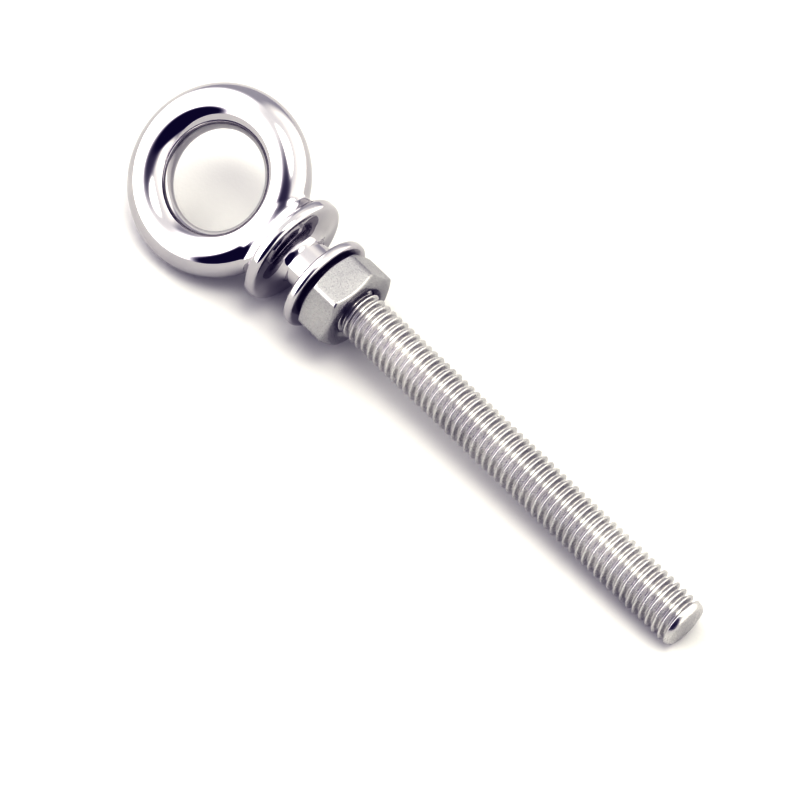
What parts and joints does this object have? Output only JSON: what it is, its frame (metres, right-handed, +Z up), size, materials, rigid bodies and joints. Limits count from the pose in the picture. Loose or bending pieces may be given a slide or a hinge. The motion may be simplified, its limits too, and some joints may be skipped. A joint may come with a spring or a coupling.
{
  "type": "eye bolt",
  "caption": "Eye bolt with a round eye, a collar and a long threaded shank that carries a washer and a hexagon nut.",
  "frame": {"origin": "centre of the collar's flat seat, on the shank's axis", "axes": "+X along the shank from the collar to the tip, +Z up with the bolt lying on its side, so the eye is rolled 34.8 degrees about +X with its +Y side raised"},
  "size_m": [0.089, 0.02, 0.0156],
  "materials": {
    "polished_steel": "mirror-polished stainless steel",
    "washer_steel": "tumbled bright stainless steel",
    "nut_steel": "cold-formed satin stainless steel"
  },
  "bodies": {
    "eye_bolt": {"eye_bolt": "polished_steel"},
    "washer": {"washer": "washer_steel"},
    "nut": {"nut": "nut_steel"}
  },
  "joints": [
    {"name": "washer_slide", "type": "slide", "parent": "eye_bolt", "child": "washer", "axis": [1, 0, 0], "range_m": [0, 0.053]},
    {"name": "nut_spin", "type": "hinge", "parent": "washer", "child": "nut", "pos_m": [0, 0, 0], "axis": [1, 0, 0], "range_deg": [0, 19080]}
  ],
  "couplings": [
    {"joint": "nut_spin", "follows": "washer_slide", "rad_per_m": 6283.2}
  ]
}
